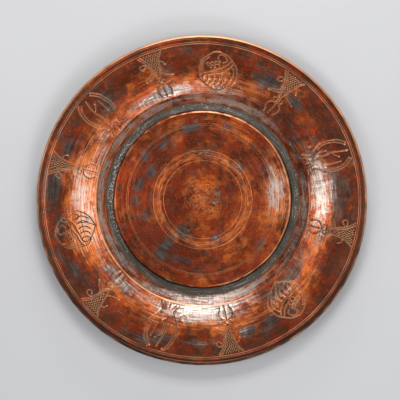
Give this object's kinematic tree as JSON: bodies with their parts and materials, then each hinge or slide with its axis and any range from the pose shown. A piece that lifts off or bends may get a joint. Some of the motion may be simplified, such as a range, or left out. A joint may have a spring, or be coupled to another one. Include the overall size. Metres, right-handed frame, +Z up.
{
  "type": "engraved copper tray",
  "caption": "Round copper tray: broad chased flange rising to a wired rolled rim, and a raised plate soldered into its middle.",
  "frame": {"origin": "centre of the foot ring's underside, on the plane the tray rests on", "axes": "+Z up, out of the tray's upper face; +Y towards the edge that is uppermost when the tray is stood up for show; +X to its right"},
  "size_m": [0.4199, 0.42, 0.0269],
  "materials": {
    "tinned_copper": "hammered and lathe-scraped copper with worn tinning, satin",
    "scraped_copper": "lathe-scraped copper with concentric lines and worn tinning, satin",
    "old_solder": "aged tin solder, dull grey-green and slightly rough",
    "iron_wire": "drawn iron wire, dark and lightly rusted"
  },
  "bodies": {
    "root": {"flange_body": "tinned_copper", "centre_plate": "scraped_copper", "seam_solder": "old_solder", "rim_wire": "iron_wire"}
  },
  "joints": []
}
